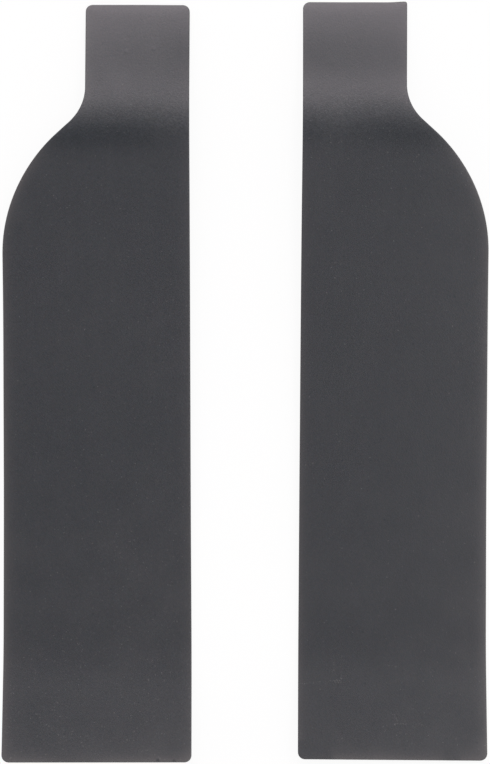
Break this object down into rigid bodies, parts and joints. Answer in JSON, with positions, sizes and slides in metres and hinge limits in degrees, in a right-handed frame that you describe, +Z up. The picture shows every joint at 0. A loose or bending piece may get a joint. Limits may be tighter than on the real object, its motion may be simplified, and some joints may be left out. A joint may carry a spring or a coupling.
{
  "type": "guard panel pair",
  "caption": "Handed guards of bent plastic sheet: straight inner edge, S-curved shoulder running in to a set-back tab, and a raised toe.",
  "frame": {"origin": "middle of the pair's footprint, on the floor that both guards lie on, face up", "axes": "+Z up from the floor, +Y along the guards towards their tabs, +X towards the right-hand guard as the picture shows it"},
  "size_m": [0.2572, 0.4044, 0.0128],
  "materials": {
    "left_sheet": "dark grey, fine leather-like grain, satin",
    "right_sheet": "dark grey, fine leather-like grain, satin"
  },
  "bodies": {
    "left_guard": {"left_guard_panel": "left_sheet"},
    "right_guard": {"right_guard_panel": "right_sheet"}
  },
  "joints": [
    {"name": "right_guard_lift", "type": "slide", "parent": "left_guard", "child": "right_guard", "axis": [0, 0, 1], "range_m": [0, 0.06]}
  ]
}
